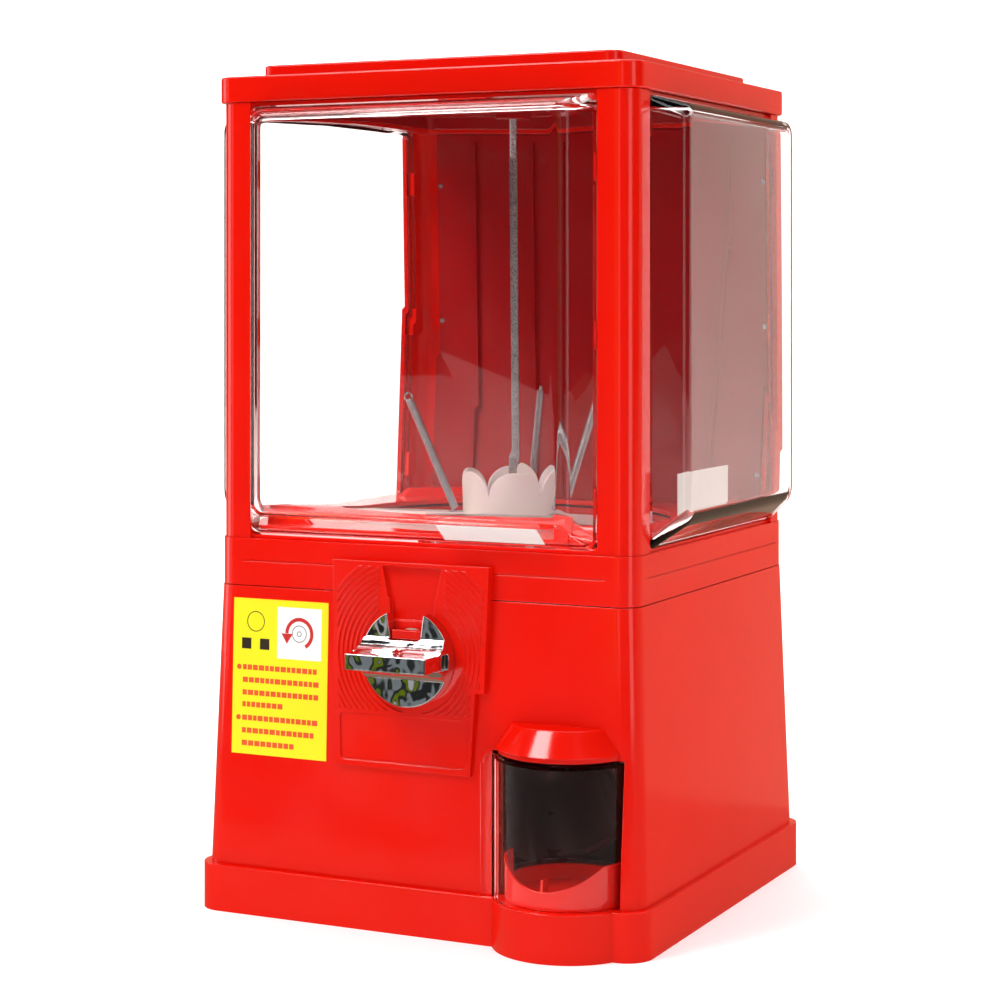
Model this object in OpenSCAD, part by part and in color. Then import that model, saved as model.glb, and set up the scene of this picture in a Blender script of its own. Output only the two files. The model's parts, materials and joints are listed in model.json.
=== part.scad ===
// Capsule toy vendor: a counter-top machine that drops one toy capsule per turn of its knob.
// Origin: centre of the underside, on the axis of the centre rod. +Z up, -Y front, +X right.

/* [Cabinet] */
// Width of the base skirt
skirt_w = 290; // [286:1:296]
// Depth of the base skirt
skirt_d = 274; // [270:1:280]
// Height of the base skirt
skirt_h = 27.5; // [24:0.5:30]
// Width of the tapered cabinet at its foot
foot_w = 283; // [280:1:284]
// Depth of the tapered cabinet at its foot
foot_d = 264; // [262:1:266]
// Width of the cabinet at the seam below the band
seam_w = 273; // [271:1:275]
// Depth of the cabinet at the seam below the band
seam_d = 253; // [251:1:255]
// Height of the seam between the cabinet and the band
seam_z = 193.7; // [192:0.1:196]
// Wall thickness of the moulded shells
wall = 3; // [2.5:0.1:3.5]

/* [Upper frame] */
// Width over the posts
post_w = 271; // [269:1:272]
// Depth over the posts
post_d = 250; // [248:1:251]
// Height of the band's top, where the posts stand
band_top = 222.2; // [221:0.1:223]
// Height of the posts' top ends, under the lid
post_top = 482.9; // [470:0.1:500]
// How far the windows stand out of the frame
window_proud = 19; // [15:0.5:22]

/* [Lid] */
// Width of the lid
lid_w = 276; // [274:1:278]
// Depth of the lid
lid_d = 252.5; // [252:0.5:255]
// Height of the lid's rim
lid_h = 15.5; // [14:0.5:18]
// Height of the raised plate on the lid
plate_h = 8; // [6:0.5:10]

/* [Outlet] */
// Sideways place of the outlet's axis
outlet_x = 90.5; // [88:0.5:92]
// Front-to-back place of the outlet's axis
outlet_y = -114.5; // [-116:0.5:-113]
// Outer radius of the clear door
door_r = 42; // [41:0.1:42.2]
// Height of the door's top edge
door_top = 108.5; // [104:0.5:110]

/* [Dispensing] */
// Height of the knob's axis
knob_z = 159.5; // [158:0.5:160]
// Radius of the knob
knob_r = 28; // [26:0.5:29]
// Radius of each capsule pocket
pocket_r = 37; // [35:0.5:37]
// Distance from the rod to the middle of a pocket
pocket_at = 66; // [65:0.5:66]
// Number of capsule pockets
pockets = 3; // [3]
// Teeth on the drive gear
gear_teeth = 24; // [24]
// Radius of the ring of crown teeth, at the middle of their length
crown_r = 111; // [111]

/* [Hidden] */
$fn = 64;
eps = 0.01;
gap = 0.3;                 // between parts that move past each other
run = 0.06;                // radial clearance of a running fit
hull_fn = 32;              // facets on the corners of hulled shells
red = [0.91, 0.14, 0.06];
clear = [0.9, 0.86, 0.86, 0.35];
steel = [0.72, 0.73, 0.75];

// Levels, from the floor up
floor_z = 157;             // top face that the capsules rest on
floor_t = 3;
wheel_z = floor_z + 1.2;   // underside of the hopper wheel
wheel_top = 222;
rim_z = 226.2;             // top of the ring that surrounds the wheel
ramp_t = 2.8;
lid_z = post_top + 0.2;
lid_top = lid_z + lid_h + plate_h;
liner_z = lid_z + 5;
liner_t = 2.4;
rod_top = lid_z + 16;

// Fastener places
screw_x = 120;
screw_y = 108;
deck_x = 122;
deck_y = 112;
clip_levels = [250, 345, 440];

// Windows
win_w = 226;               // opening between the front posts
win_side_w = 204;          // opening between the side posts
win_lo = 224.5;
win_hi = 480.5;
win_t = 2.5;
face_inset = 11.5;         // how far the flat face stands inside the opening's outline
face_lo = 239.5;
face_hi = 475.5;

// Outlet
door_t = 2.4;
door_z = skirt_h + 0.6;
housing_r = door_r - door_t - 0.7;
tray_r = housing_r - 2.6;
door_from = -154;          // azimuth of the door's grip edge
door_to = -14;             // azimuth of the door's hidden edge
roof_z = door_top + 0.8;
roof_t = 2.6;

// Wheel and its drive
outlet_az = atan2(outlet_y, outlet_x);
first_pocket = -78;        // azimuth of one pocket at rest
wheel_r = pocket_at + pocket_r + 2.4;
crown_teeth = gear_teeth * pockets;
tooth_pitch = 2 * PI * crown_r / crown_teeth;
gear_r = crown_r / pockets;
tooth_up = 2.6;            // height of a tooth above its pitch line
tooth_down = 3.1;          // depth below it
tooth_w = tooth_pitch * 0.44;
tooth_slope = tan(20);
crown_z = knob_z + gear_r; // pitch line of the crown teeth
face_w = 8;                // length of a crown tooth
spring_az = [222, 102, 342];
spring_foot = [33.6, 229]; // radius and height of each spring's hooked foot
spring_tip = [67, 305];
crown_petal_r = 30;

// Knob and mechanism, along Y from the front
knob_face = -140.5;
knob_back = -132.7;
plate_face = -132.2;
plate_back = -127.2;
box_back = -122.5;
shaft_r = 4;
shaft_end = -106.3;
ratchet_y = -119.5;
gear_y = -115;
gear_w = 7.4;
pawl_x = -40;
pawl_z = knob_z + 24;
box_screws = [[-37, 124.5], [-37, 168], [30, 124.5], [30, 182.5]];
neck_r = 14;

// ---------- shared shapes ----------

// Rectangle with true round corners
module rounded_rect(w, d, r) {
    square([w - 2 * r, d], center = true);
    square([w, d - 2 * r], center = true);
    for (x = [-1, 1], y = [-1, 1])
        translate([x * (w / 2 - r), y * (d / 2 - r)]) circle(r);
}

// Upright block with round corners between two heights
module block(w, d, r, z0, z1) {
    translate([0, 0, z0]) linear_extrude(z1 - z0) rounded_rect(w, d, r);
}

// Cabinet's tapered outer form, made smaller all round by inset
module taper(inset, z0, z1) {
    hull() {
        translate([0, 0, z0]) linear_extrude(eps)
            rounded_rect(foot_w - 2 * inset, foot_d - 2 * inset, 13 - inset, $fn = hull_fn);
        translate([0, 0, z1 - eps]) linear_extrude(eps)
            rounded_rect(seam_w - 2 * inset, seam_d - 2 * inset, 13 - inset, $fn = hull_fn);
    }
}

// Cylinder along +Y starting at y
module along_y(y, length, r, x = 0, z = knob_z) {
    translate([x, y, z]) rotate([-90, 0, 0]) cylinder(r = r, h = length);
}

// Ring along +Y
module ring_y(y, length, r_out, r_in, x = 0, z = knob_z) {
    difference() {
        along_y(y, length, r_out, x, z);
        along_y(y - 1, length + 2, r_in, x, z);
    }
}

// Upright ring
module ring(z0, z1, r_out, r_in) {
    difference() {
        translate([0, 0, z0]) cylinder(r = r_out, h = z1 - z0);
        translate([0, 0, z0 - 1]) cylinder(r = r_in, h = z1 - z0 + 2);
    }
}

// Flat wedge from azimuth a0 to a1, made of quarter-turn or smaller slices
module wedge_2d(r, a0, a1) {
    steps = ceil((a1 - a0) / 60);
    step = (a1 - a0) / steps;
    polygon(concat([[0, 0]], [for (i = [0 : steps]) [cos(a0 + i * step), sin(a0 + i * step)] * r * 1.3]));
}

// Ring sector: from azimuth a0 to a1 around the origin
module sector(z0, z1, r_out, r_in, a0, a1) {
    intersection() {
        ring(z0, z1, r_out, r_in);
        translate([0, 0, z0 - 1]) linear_extrude(z1 - z0 + 2) wedge_2d(r_out, a0, a1);
    }
}

module at_outlet() {
    translate([outlet_x, outlet_y, 0]) children();
}

// Pan-head screw, head on top, shank pointing down from z
module screw(head_r, head_h, shank_r, length) {
    difference() {
        cylinder(r = head_r, h = head_h);
        for (turn = [0, 90])
            rotate(turn) translate([-head_r * 0.6, -0.4, head_h - 0.8]) cube([head_r * 1.2, 0.8, 1]);
    }
    translate([0, 0, -length]) cylinder(r = shank_r, h = length + eps);
}

// ---------- fixed shells ----------

module base_skirt() {
    color(red) difference() {
        union() {
            block(skirt_w, skirt_d, 16, 0, skirt_h);
            at_outlet() cylinder(r = 43.3, h = skirt_h);
        }
        difference() {
            union() {
                block(skirt_w - 2 * wall, skirt_d - 2 * wall, 13, wall, skirt_h - wall);
                block(foot_w - 4 * wall, foot_d - 4 * wall, 8, wall, skirt_h + 1);
                at_outlet() translate([0, 0, wall]) cylinder(r = 40.3, h = skirt_h - 2 * wall);
            }
            // the shelf that carries the outlet's tray
            at_outlet() translate([0, 0, skirt_h - wall]) cylinder(r = 43.3, h = wall);
            for (x = [-1, 1], y = [-1, 1])
                translate([x * screw_x, y * screw_y, 0]) cylinder(r = 6, h = skirt_h - wall);
        }
        for (x = [-1, 1], y = [-1, 1]) {
            translate([x * screw_x, y * screw_y, -1]) cylinder(r = 2.2, h = 40);
            translate([x * screw_x, y * screw_y, -1]) cylinder(r = 4.2, h = 5);
        }
    }
}

module base_screws() {
    color(steel)
        for (x = [-1, 1], y = [-1, 1])
            translate([x * screw_x, y * screw_y, 4]) rotate([180, 0, 0]) screw(3.8, 2.4, 2, 18);
}

module lower_cabinet() {
    color(red) difference() {
        union() {
            difference() {
                taper(0, skirt_h, seam_z);
                taper(wall, skirt_h - 1, seam_z + 1);
            }
            // bosses that carry the hopper floor
            intersection() {
                taper(1, skirt_h, seam_z);
                for (x = [-1, 1], y = [-1, 1])
                    translate([x * 126, y * 116, floor_z - floor_t - 22]) cylinder(r = 9.5, h = 22);
            }
        }
        for (x = [-1, 1], y = [-1, 1])
            translate([x * deck_x, y * deck_y, floor_z - floor_t - 20]) cylinder(r = 1.7, h = 30);
        // way in for the mechanism
        translate([-45.5, -150, 115.5]) cube([82.5, 60, 76]);
        // round bay of the clear door, and the seat of the bay's roof
        at_outlet() translate([0, 0, skirt_h - 1]) cylinder(r = door_r + 0.8, h = roof_z + 0.2 - skirt_h + 1);
        at_outlet() translate([0, 0, roof_z - 5]) cylinder(r = housing_r + 0.1, h = roof_t + 5.2);
    }
}

module hopper_band() {
    groove = 0.5;
    groove_z = 208.5;
    color(red) difference() {
        block(seam_w - 0.8, seam_d - 0.8, 12.6, seam_z + 0.4, band_top);
        block(seam_w - 2 * wall, seam_d - 2 * wall, 10, seam_z - 1, band_top - wall);
        translate([0, 0, band_top - wall - 1]) cylinder(r = wheel_r + 3, h = wall + 2);
        for (y = [-1, 1])
            translate([-118, y * seam_d / 2 - 0.4 * y - groove, groove_z]) cube([236, 2 * groove, 0.7]);
        for (x = [-1, 1])
            translate([x * seam_w / 2 - 0.4 * x - groove, -108, groove_z]) cube([2 * groove, 216, 0.7]);
        for (x = [-1, 1], y = [-1, 1])
            translate([x * screw_x, y * screw_y, band_top - wall - 1]) cylinder(r = 2.1, h = wall + 2);
    }
}

// Window openings through the posts' shell: front, back and both sides
module frame_openings() {
    translate([-win_w / 2, -post_d, band_top - 1]) cube([win_w, 2 * post_d, post_top]);
    translate([-post_w, -win_side_w / 2, band_top - 1]) cube([2 * post_w, win_side_w, post_top]);
}

module upper_frame() {
    inner_w = post_w - 2 * wall;
    inner_d = post_d - 2 * wall;
    color(red) difference() {
        union() {
            difference() {
                block(post_w, post_d, 12, band_top, post_top);
                block(inner_w, inner_d, 9, band_top - 1, post_top + 1);
                frame_openings();
            }
            difference() {
                block(inner_w + 1, inner_d + 1, 9, band_top, rim_z);
                translate([0, 0, band_top - 1]) cylinder(r = wheel_r + 2.5, h = 10);
            }
            difference() {
                block(inner_w + 1, inner_d + 1, 9, post_top - 6.4, post_top);
                block(inner_w - 26, inner_d - 26, 6, post_top - 8, post_top + 1);
            }
        }
        for (x = [-1, 1], y = [-1, 1])
            translate([x * screw_x, y * screw_y, band_top - 1]) cylinder(r = 2.1, h = 6);
        for (x = [-1, 1], z = clip_levels)
            along_y(post_d / 2 - 5, 6, 1.75, x * 116, z);
    }
}

module frame_screws() {
    color(steel)
        for (x = [-1, 1], y = [-1, 1])
            translate([x * screw_x, y * screw_y, rim_z]) screw(3.8, 1.7, 2, 9);
}

module back_panel() {
    ribs = 5;
    color(red) difference() {
        union() {
            // skin in the opening, core behind it and flange behind the posts
            translate([-win_w / 2 + gap, post_d / 2 - 2.4, win_lo - 1]) cube([win_w - 2 * gap, 2, 257]);
            translate([-win_w / 2 + gap, post_d / 2 - 5, rim_z + gap])
                cube([win_w - 2 * gap, 3, post_top - 7 - rim_z]);
            translate([-118, post_d / 2 - 5.6, rim_z + gap]) cube([236, 2.4, post_top - 7 - rim_z]);
            for (i = [0 : ribs - 1])
                translate([(i - (ribs - 1) / 2) * 44 - 1.2, post_d / 2 - 8.4, rim_z + 6])
                    cube([2.4, 3, post_top - 18 - rim_z]);
        }
        for (x = [-1, 1], z = clip_levels)
            along_y(post_d / 2 - 20, 40, 1.8, x * 116, z);
    }
}

// One clear window bulging out through an opening of the given width.
// Drawn with its opening in the plane y = -depth.
module window(width, depth) {
    face_y = -depth - window_proud;
    color(clear) difference() {
        union() {
            hull() {
                translate([0, -depth, 0]) window_outline(width - 0.8, win_lo, win_hi, 3);
                translate([0, face_y + eps, 0])
                    window_outline(width - 2 * face_inset, face_lo, face_hi, 8);
            }
            // the neck inside the opening
            translate([-width / 2 + 0.4, -depth - eps, win_lo]) cube([width - 0.8, 2.5, win_hi - win_lo]);
            translate([-width / 2 + 0.4, -depth, rim_z + gap])
                cube([width - 0.8, 5.9, post_top - 6.7 - rim_z - gap]);
            // the flange behind the posts
            translate([-width / 2 - 4.6, -depth + wall + gap, rim_z + gap])
                cube([width + 9.2, win_t, post_top - 6.7 - rim_z - gap]);
        }
        hull() {
            translate([0, -depth + eps, 0])
                window_outline(width - 0.8 - 2 * win_t, win_lo + 5, win_hi - 6.5, 3);
            translate([0, face_y + win_t, 0])
                window_outline(width - 2 * face_inset - 2 * win_t, face_lo + win_t, face_hi - win_t, 6);
        }
        translate([-width / 2 + 0.4 + win_t, -depth - eps, win_lo + 5])
            cube([width - 0.8 - 2 * win_t, 20, win_hi - win_lo - 11.5]);
    }
}

// Thin upright sheet in the XZ plane, with round corners
module window_outline(w, z0, z1, r) {
    translate([0, 0, (z0 + z1) / 2]) rotate([90, 0, 0])
        linear_extrude(eps) rounded_rect(w, z1 - z0, r, $fn = hull_fn);
}

module front_window() {
    window(win_w, post_d / 2);
}

module right_window() {
    rotate(90) window(win_side_w, post_w / 2);
}

module left_window() {
    rotate(-90) window(win_side_w, post_w / 2);
}

// Small tabs that hold the window flanges behind the posts, and one stop on the front sill
module window_clips() {
    clip_y = post_d / 2 - wall - gap - win_t;
    clip_x = post_w / 2 - wall - gap - win_t;
    color(red) {
        for (z = clip_levels) {
            for (x = [-1, 1])
                translate([x * 119 - 5, -clip_y + 0.1, z - 8]) cube([10, 3, 16]);
            for (x = [-1, 1], y = [-1, 1])
                translate([x * (clip_x - 1.6) - 1.5, y * 106 - 5, z - 8]) cube([3, 10, 16]);
        }
        translate([84, -post_d / 2 + 6.1, rim_z + 2]) cube([9, 1.8, 14]);
    }
}

module panel_screws() {
    color(steel)
        for (x = [-1, 1], z = clip_levels)
            translate([x * 116, post_d / 2, z]) rotate([-90, 0, 0]) screw(3.4, 2, 1.7, 5.4);
}

// Ring sheet that leads the capsules onto the wheel, with a ramp in each corner
module hopper_funnel() {
    base_z = rim_z + 1.9;
    color(red) {
        difference() {
            block(252, 234, 8, base_z, base_z + ramp_t);
            translate([0, 0, base_z - 1]) cylinder(r = wheel_r - 1, h = 10);
        }
        for (x = [-1, 1], y = [-1, 1])
            translate([x * 119 - 5, y * 50 - 5, rim_z]) cube([10, 10, base_z - rim_z + eps]);
        for (x = [-1, 1], y = [-1, 1]) hull() {
            translate([x * 104 - 8, y * 98 - 8, base_z + ramp_t - 1]) cube([16, 16, 1]);
            translate([x * 114 - 2, y * 70 - 2, base_z + ramp_t - 1]) cube([4, 4, 1]);
            translate([x * 82 - 2, y * 106 - 2, base_z + ramp_t - 1]) cube([4, 4, 1]);
            translate([x * 110 - 1, y * 100 - 1, base_z + 22]) cube([2, 2, 1]);
        }
    }
}

// Plate over the outlet hole, so that only the capsule in the pocket can drop
module capsule_baffle() {
    color([0.75, 0.76, 0.78])
        sector(rim_z + 0.1, rim_z + 1.7, wheel_r + 6, 44, outlet_az - 36, outlet_az + 36);
}

// ---------- hopper floor, chute and outlet ----------

module hopper_floor() {
    color(red) difference() {
        union() {
            block(262, 242, 8, floor_z - floor_t, floor_z);
            translate([0, 0, floor_z - 10]) cylinder(r = 16, h = 10);
            translate([0, 0, floor_z - eps]) cylinder(r = 10, h = wheel_top - 3 - floor_z);
        }
        translate([0, 0, floor_z - 20]) cylinder(r = 2.6, h = 100);
        rotate(outlet_az) translate([pocket_at, 0, floor_z - 20]) cylinder(r = pocket_r, h = 40);
        // notch for the drive gear
        translate([-45.2, -130, floor_z - 10]) cube([88.2, 130 - 105.9, 20]);
        for (x = [-1, 1], y = [-1, 1])
            translate([x * deck_x, y * deck_y, floor_z - 10]) cylinder(r = 2.1, h = 20);
    }
}

module deck_screws() {
    color(steel)
        for (x = [-1, 1], y = [-1, 1])
            translate([x * deck_x, y * deck_y, floor_z]) screw(3.8, 2.2, 1.6, 16);
}

// Direction and slope of the chute from the hopper floor's hole to the outlet
hole = [cos(outlet_az), sin(outlet_az)] * pocket_at;
chute_az = atan2(outlet_y - hole[1], outlet_x - hole[0]);
chute_slope = 28;
elbow_z = 101.6;

// Elbow-shaped passage of the given radius
module elbow(r, top) {
    translate([hole[0], hole[1], elbow_z]) {
        cylinder(r = r, h = top - elbow_z);
        sphere(r = r + 0.4);
        rotate([0, 90 + chute_slope, chute_az]) cylinder(r = r, h = 85);
    }
}

module chute_elbow() {
    color([0.35, 0.02, 0.02]) difference() {
        elbow(pocket_r + 2.4, floor_z - floor_t - 0.2);
        elbow(pocket_r, floor_z);
        at_outlet() cylinder(r = door_r + 1.3, h = 200);
    }
}

// Fixed back half of the outlet's bay, with its roof
module outlet_housing() {
    entry_az = chute_az + 180;
    color([0.3, 0.02, 0.02]) at_outlet() difference() {
        union() {
            difference() {
                sector(skirt_h + 0.2, door_top - 2.8, housing_r, housing_r - 2, -4, 200);
                // the capsule's way in
                translate([0, 0, 40]) linear_extrude(60) wedge_2d(60, entry_az - 64, entry_az + 64);
            }
            translate([0, 0, roof_z]) cylinder(r = housing_r, h = roof_t);
        }
        translate([0, 0, roof_z - 1]) cylinder(r = 2.05, h = 10);
    }
}

module outlet_tray() {
    dip_r = 40;
    color(red) at_outlet() {
        difference() {
            translate([0, 0, skirt_h + 0.2]) cylinder(r = tray_r, h = 24);
            translate([0, 0, skirt_h + 2.4]) cylinder(r = tray_r - 2, h = 30);
            // the lip dips in front, and the back stays open under the chute
            translate([0, 0, 38 + dip_r]) rotate([90, 0, 0]) cylinder(r = dip_r, h = 60);
            translate([-50, 0, 38]) cube([100, 50, 60]);
        }
        translate([-0.8, -tray_r + 1, skirt_h + 2]) cube([1.6, 7, 15]);
    }
}

module outlet_cap() {
    cap_r = 41.4;
    color(red) difference() {
        at_outlet() union() {
            translate([0, 0, roof_z + 0.4]) cylinder(r = cap_r - 1.6, h = 3.4);
            translate([0, 0, roof_z + 3.2]) cylinder(r1 = cap_r, r2 = 32, h = 14, $fn = 96);
        }
        taper(-0.05, skirt_h, seam_z);
        at_outlet() translate([0, 0, roof_z]) cylinder(r = housing_r + 0.1, h = 3);
    }
}

// Clear door: part of a cylinder that turns about the outlet's axis
module outlet_door() {
    grip_x = -43.6;        // outer bead of the grip, from the outlet's axis
    grip_y = -20.2;
    color(clear) at_outlet() {
        difference() {
            union() {
                sector(door_z, door_top, door_r, door_r - door_t, door_from, door_to);
                intersection() {
                    translate([0, 0, door_top - 2.4]) cylinder(r = door_r - door_t + eps, h = 2.4);
                    translate([0, 0, door_top - 4]) linear_extrude(6)
                        wedge_2d(door_r, door_from, door_to);
                }
                translate([0, 0, door_top - 2.4]) cylinder(r = 8, h = 2.4);
            }
            translate([0, 0, door_top - 10]) cylinder(r = 2.05, h = 20);
        }
        // flat grip that runs on from the door's edge, with a round top and a bead
        translate([grip_x, grip_y, door_z]) {
            cube([7.4, 2.2, door_top - door_z - 4]);
            translate([4, 0, door_top - door_z - 4 - eps]) cube([3.4, 2.2, 4]);
            translate([4, 2.2, door_top - door_z - 4]) rotate([90, 0, 0]) cylinder(r = 4, h = 2.2);
            translate([0, 0.4, 0]) cylinder(r = 1.7, h = door_top - door_z - 6);
        }
    }
}

module door_pivot_screw() {
    color([0.1, 0.1, 0.1]) at_outlet() {
        translate([0, 0, door_top - 5.6]) cylinder(r = 5, h = 2.8);
        translate([0, 0, door_top - 4]) cylinder(r = 2, h = 12);
        translate([0, 0, roof_z + roof_t]) cylinder(r = 4, h = 3, $fn = 6);
    }
}

// ---------- mechanism on the front ----------

// Front outline of the plate down to the level foot, made smaller by inset.
// Its right edge slopes and steps in, and its left edge slopes a little.
plate_lo = 93.5;
plate_hi = 213.2;
plate_step = 141;
function plate_outline(inset, foot) =
    let (left = -52.2 + 1.3 * (plate_hi - foot) / (plate_hi - plate_lo),
         right = 40.5 - 3.2 * (plate_step - foot) / (plate_step - plate_lo))
    [[left + inset, foot], [-52.2 + inset, plate_hi - inset], [49.3 - inset, plate_hi - inset],
     [46.2 - inset, plate_step + inset], [40.5 - inset, plate_step + inset], [right - inset, foot]];

module mech_plate() {
    rib_pitch = 3;
    rib_r = 33;
    color(red) difference() {
        union() {
            translate([0, plate_face + 9, 0]) rotate([90, 0, 0]) linear_extrude(9)
                polygon(plate_outline(0, plate_lo));
            // raised rings round the knob
            intersection() {
                union() for (i = [0 : 9])
                    ring_y(plate_face - 0.7, 2, rib_r + i * rib_pitch + 1.4, rib_r + i * rib_pitch);
                translate([0, plate_face + 3, 0]) rotate([90, 0, 0]) linear_extrude(4)
                    polygon(plate_outline(3, 127));
                difference() {
                    translate([-60, plate_face - 2, 90]) cube([120, 6, 140]);
                    translate([-21.5, plate_face - 3, knob_z]) cube([43, 8, 80]);
                }
            }
        }
        // coin funnel
        translate([0, plate_face + 3.4, 0]) rotate([90, 0, 0]) linear_extrude(6) {
            polygon([[-19.5, 211], [-15.6, 193], [15.6, 193], [19.5, 211]]);
            polygon([[-14.6, 193.2], [-14, 180], [14, 180], [14.6, 193.2]]);
        }
        // sunk panel below the knob
        translate([0, plate_face + 1, 0]) rotate([90, 0, 0]) linear_extrude(3) {
            for (corner = [[-44.1, 100], [31.8, 100], [33.6, 121.6], [-44.5, 121.6]])
                translate(corner) circle(3);
            polygon([[-44.1, 97], [31.8, 97], [34.8, 100], [36.6, 121.6],
                     [33.6, 124.6], [-44.5, 124.6], [-47.5, 121.6], [-47.1, 100]]);
        }
        // bore for the knob's neck bush
        along_y(plate_face - 1, 12, 16.55);
        // the plate beds on the cabinet and the band
        taper(-0.02, skirt_h, seam_z);
        block(seam_w - 0.76, seam_d - 0.76, 12.6, seam_z - 0.5, band_top + 5);
        translate([-45, plate_back, 116]) cube([81.5, 20, 75]);
        for (at = box_screws) along_y(plate_back - 2, 4, 1.65, at[0], at[1]);
    }
}

module mech_box() {
    box_w = 79.5;
    box_left = -44;
    box_lo = 117.5;
    box_h = 72;
    color([0.12, 0.12, 0.13]) {
        difference() {
            translate([box_left, plate_back + 0.05, box_lo])
                cube([box_w, box_back - plate_back + 2.2, box_h]);
            translate([box_left + 2, plate_back - 1, box_lo + 2])
                cube([box_w - 4, box_back - plate_back + 1, box_h - 4]);
            along_y(box_back - 5, 20, 6.55);
            for (at = box_screws) along_y(box_back - 1, 10, 2.1, at[0], at[1]);
            along_y(box_back - 5, 20, 1.55, pawl_x, pawl_z);
        }
        // pillars behind the screws
        for (at = box_screws) ring_y(plate_back + 0.05, box_back - plate_back, 4.4, 1.7, at[0], at[1]);
    }
}

module mech_screws() {
    color(steel)
        for (at = box_screws)
            translate([at[0], box_back + 2.25, at[1]]) rotate([-90, 0, 0]) screw(3.6, 2, 1.6, 7.8);
}

module front_bush() {
    color([0.9, 0.9, 0.86]) {
        ring_y(plate_face + 0.2, 4.7, 16.5, neck_r + run);
    }
}

module rear_bush() {
    color([0.9, 0.9, 0.86]) {
        ring_y(box_back - 0.2, 2.6, 6.5, shaft_r + run);
    }
}

module turn_knob() {
    grip_l = 51.2;
    grip_t = 9;
    grip_front = -165;
    color([0.85, 0.86, 0.88]) difference() {
        union() {
            along_y(knob_face, knob_back - knob_face, knob_r);
            translate([-grip_l / 2, grip_front, knob_z - grip_t / 2])
                cube([grip_l, knob_face - grip_front + 1, grip_t]);
            // fillets that run out from the grip to the rim
            for (side = [-1, 1]) intersection() {
                along_y(grip_front, 40, knob_r);
                translate([0, knob_face, knob_z + side * (grip_t / 2)]) difference() {
                    translate([-knob_r, -14, -7]) cube([2 * knob_r, 15, 14]);
                    translate([-knob_r - 1, -14, side * 14]) rotate([0, 90, 0])
                        cylinder(r = 14, h = 2 * knob_r + 2);
                    translate([-knob_r - 1, -20, side < 0 ? 0 : -20]) cube([2 * knob_r + 2, 30, 20]);
                }
            }
        }
        // notch in the top half, where the coin would sit
        translate([0, grip_front - 1, knob_z]) rotate([90, 0, 0]) translate([0, 0, -60])
            linear_extrude(60) polygon([[-9.75, 10.5], [9.75, 10.5], [12.6, 30], [-12.6, 30]]);
        along_y(knob_face + 1.5, 20, shaft_r + 0.02);
    }
}

// Neck and disc behind the knob, with the pocket that holds the coin
module coin_carrier() {
    color([0.86, 0.1, 0.06]) difference() {
        union() {
            along_y(knob_back + 0.05, plate_back - knob_back + 0.1, neck_r);
            along_y(plate_back + 0.25, 3.6, 26);
            along_y(plate_back, 0.4, neck_r);
            // block that closes the bottom of the knob's notch
            intersection() {
                translate([-9.4, knob_face + 1.5, knob_z + 10.8]) cube([18.8, knob_back - knob_face, 5]);
                union() {
                    along_y(knob_face, knob_back - knob_face - 0.1, knob_r);
                    along_y(knob_face, 10, neck_r - 0.1);
                }
            }
        }
        translate([-11.5, plate_back - 0.5, knob_z + 14.5]) cube([23, 3, 20]);
        along_y(knob_face, 30, shaft_r + 0.02);
    }
}

module drive_shaft() {
    color(steel) along_y(knob_face + 1.6, shaft_end - knob_face - 1.6, shaft_r);
}

// Flat outline of a toothed wheel with straight-sided teeth and one tooth at the top
module gear_outline() {
    root = gear_r - tooth_down;
    tip = gear_r + tooth_up;
    root_half = tooth_w / 2 + tooth_down * tooth_slope;
    tip_half = tooth_w / 2 - tooth_up * tooth_slope;
    circle(root + 0.3);
    for (i = [0 : gear_teeth - 1])
        rotate(i * 360 / gear_teeth)
            polygon([[-root_half, root - 1], [root_half, root - 1], [root_half, root],
                     [tip_half, tip], [-tip_half, tip], [-root_half, root]]);
}

module drive_gear() {
    color([0.93, 0.92, 0.88]) difference() {
        union() {
            translate([0, gear_y + gear_w, knob_z]) rotate([90, 0, 0]) linear_extrude(gear_w) gear_outline();
        }
        along_y(gear_y - 1, 20, shaft_r + 0.02);
        for (i = [0 : 5])
            rotate_about_shaft(i * 60) along_y(gear_y - 1, 20, 6.5, 20);
    }
}

module rotate_about_shaft(angle) {
    translate([0, 0, knob_z]) rotate([0, angle, 0]) translate([0, 0, -knob_z]) children();
}

// Saw teeth: each rises slowly and drops steeply, so that the pawl blocks one way
module ratchet_wheel() {
    teeth = 24;
    peak = 20;
    valley = 17.5;
    step = 360 / teeth;
    drop = 0.8;
    turn = [for (i = [0 : teeth - 1], k = [0, 1]) 90 + (i + 0.3) * step + k * drop];
    outline = [for (n = [0 : 2 * teeth - 1]) (n % 2 == 0 ? peak : valley) * [cos(turn[n]), sin(turn[n])]];
    color([0.93, 0.92, 0.88]) difference() {
        translate([0, ratchet_y + 3.2, knob_z]) rotate([90, 0, 0]) linear_extrude(3.2) polygon(outline);
        along_y(ratchet_y - 1, 20, shaft_r + 0.02);
    }
}

module shaft_clip() {
    color(steel) ring_y(gear_y + gear_w + 0.2, 0.9, 7, shaft_r + 0.02);
}

// Lever whose tip drops behind the ratchet's teeth, drawn lifted clear of them
module pawl() {
    tip_z = 20.3;
    color([0.2, 0.2, 0.22]) difference() {
        union() {
            along_y(ratchet_y, 3, 4, pawl_x, pawl_z);
            translate([0, ratchet_y + 3, knob_z]) rotate([90, 0, 0]) linear_extrude(3)
                polygon([[pawl_x, 27.6], [pawl_x, 20.4], [-9, 21.4], [-3.4, tip_z + 0.8], [-2.4, tip_z],
                         [-1.8, tip_z], [-1.8, 22.6], [-8, 25.2]]);
        }
        along_y(ratchet_y - 1, 5, 1.5 + run, pawl_x, pawl_z);
    }
}

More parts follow.
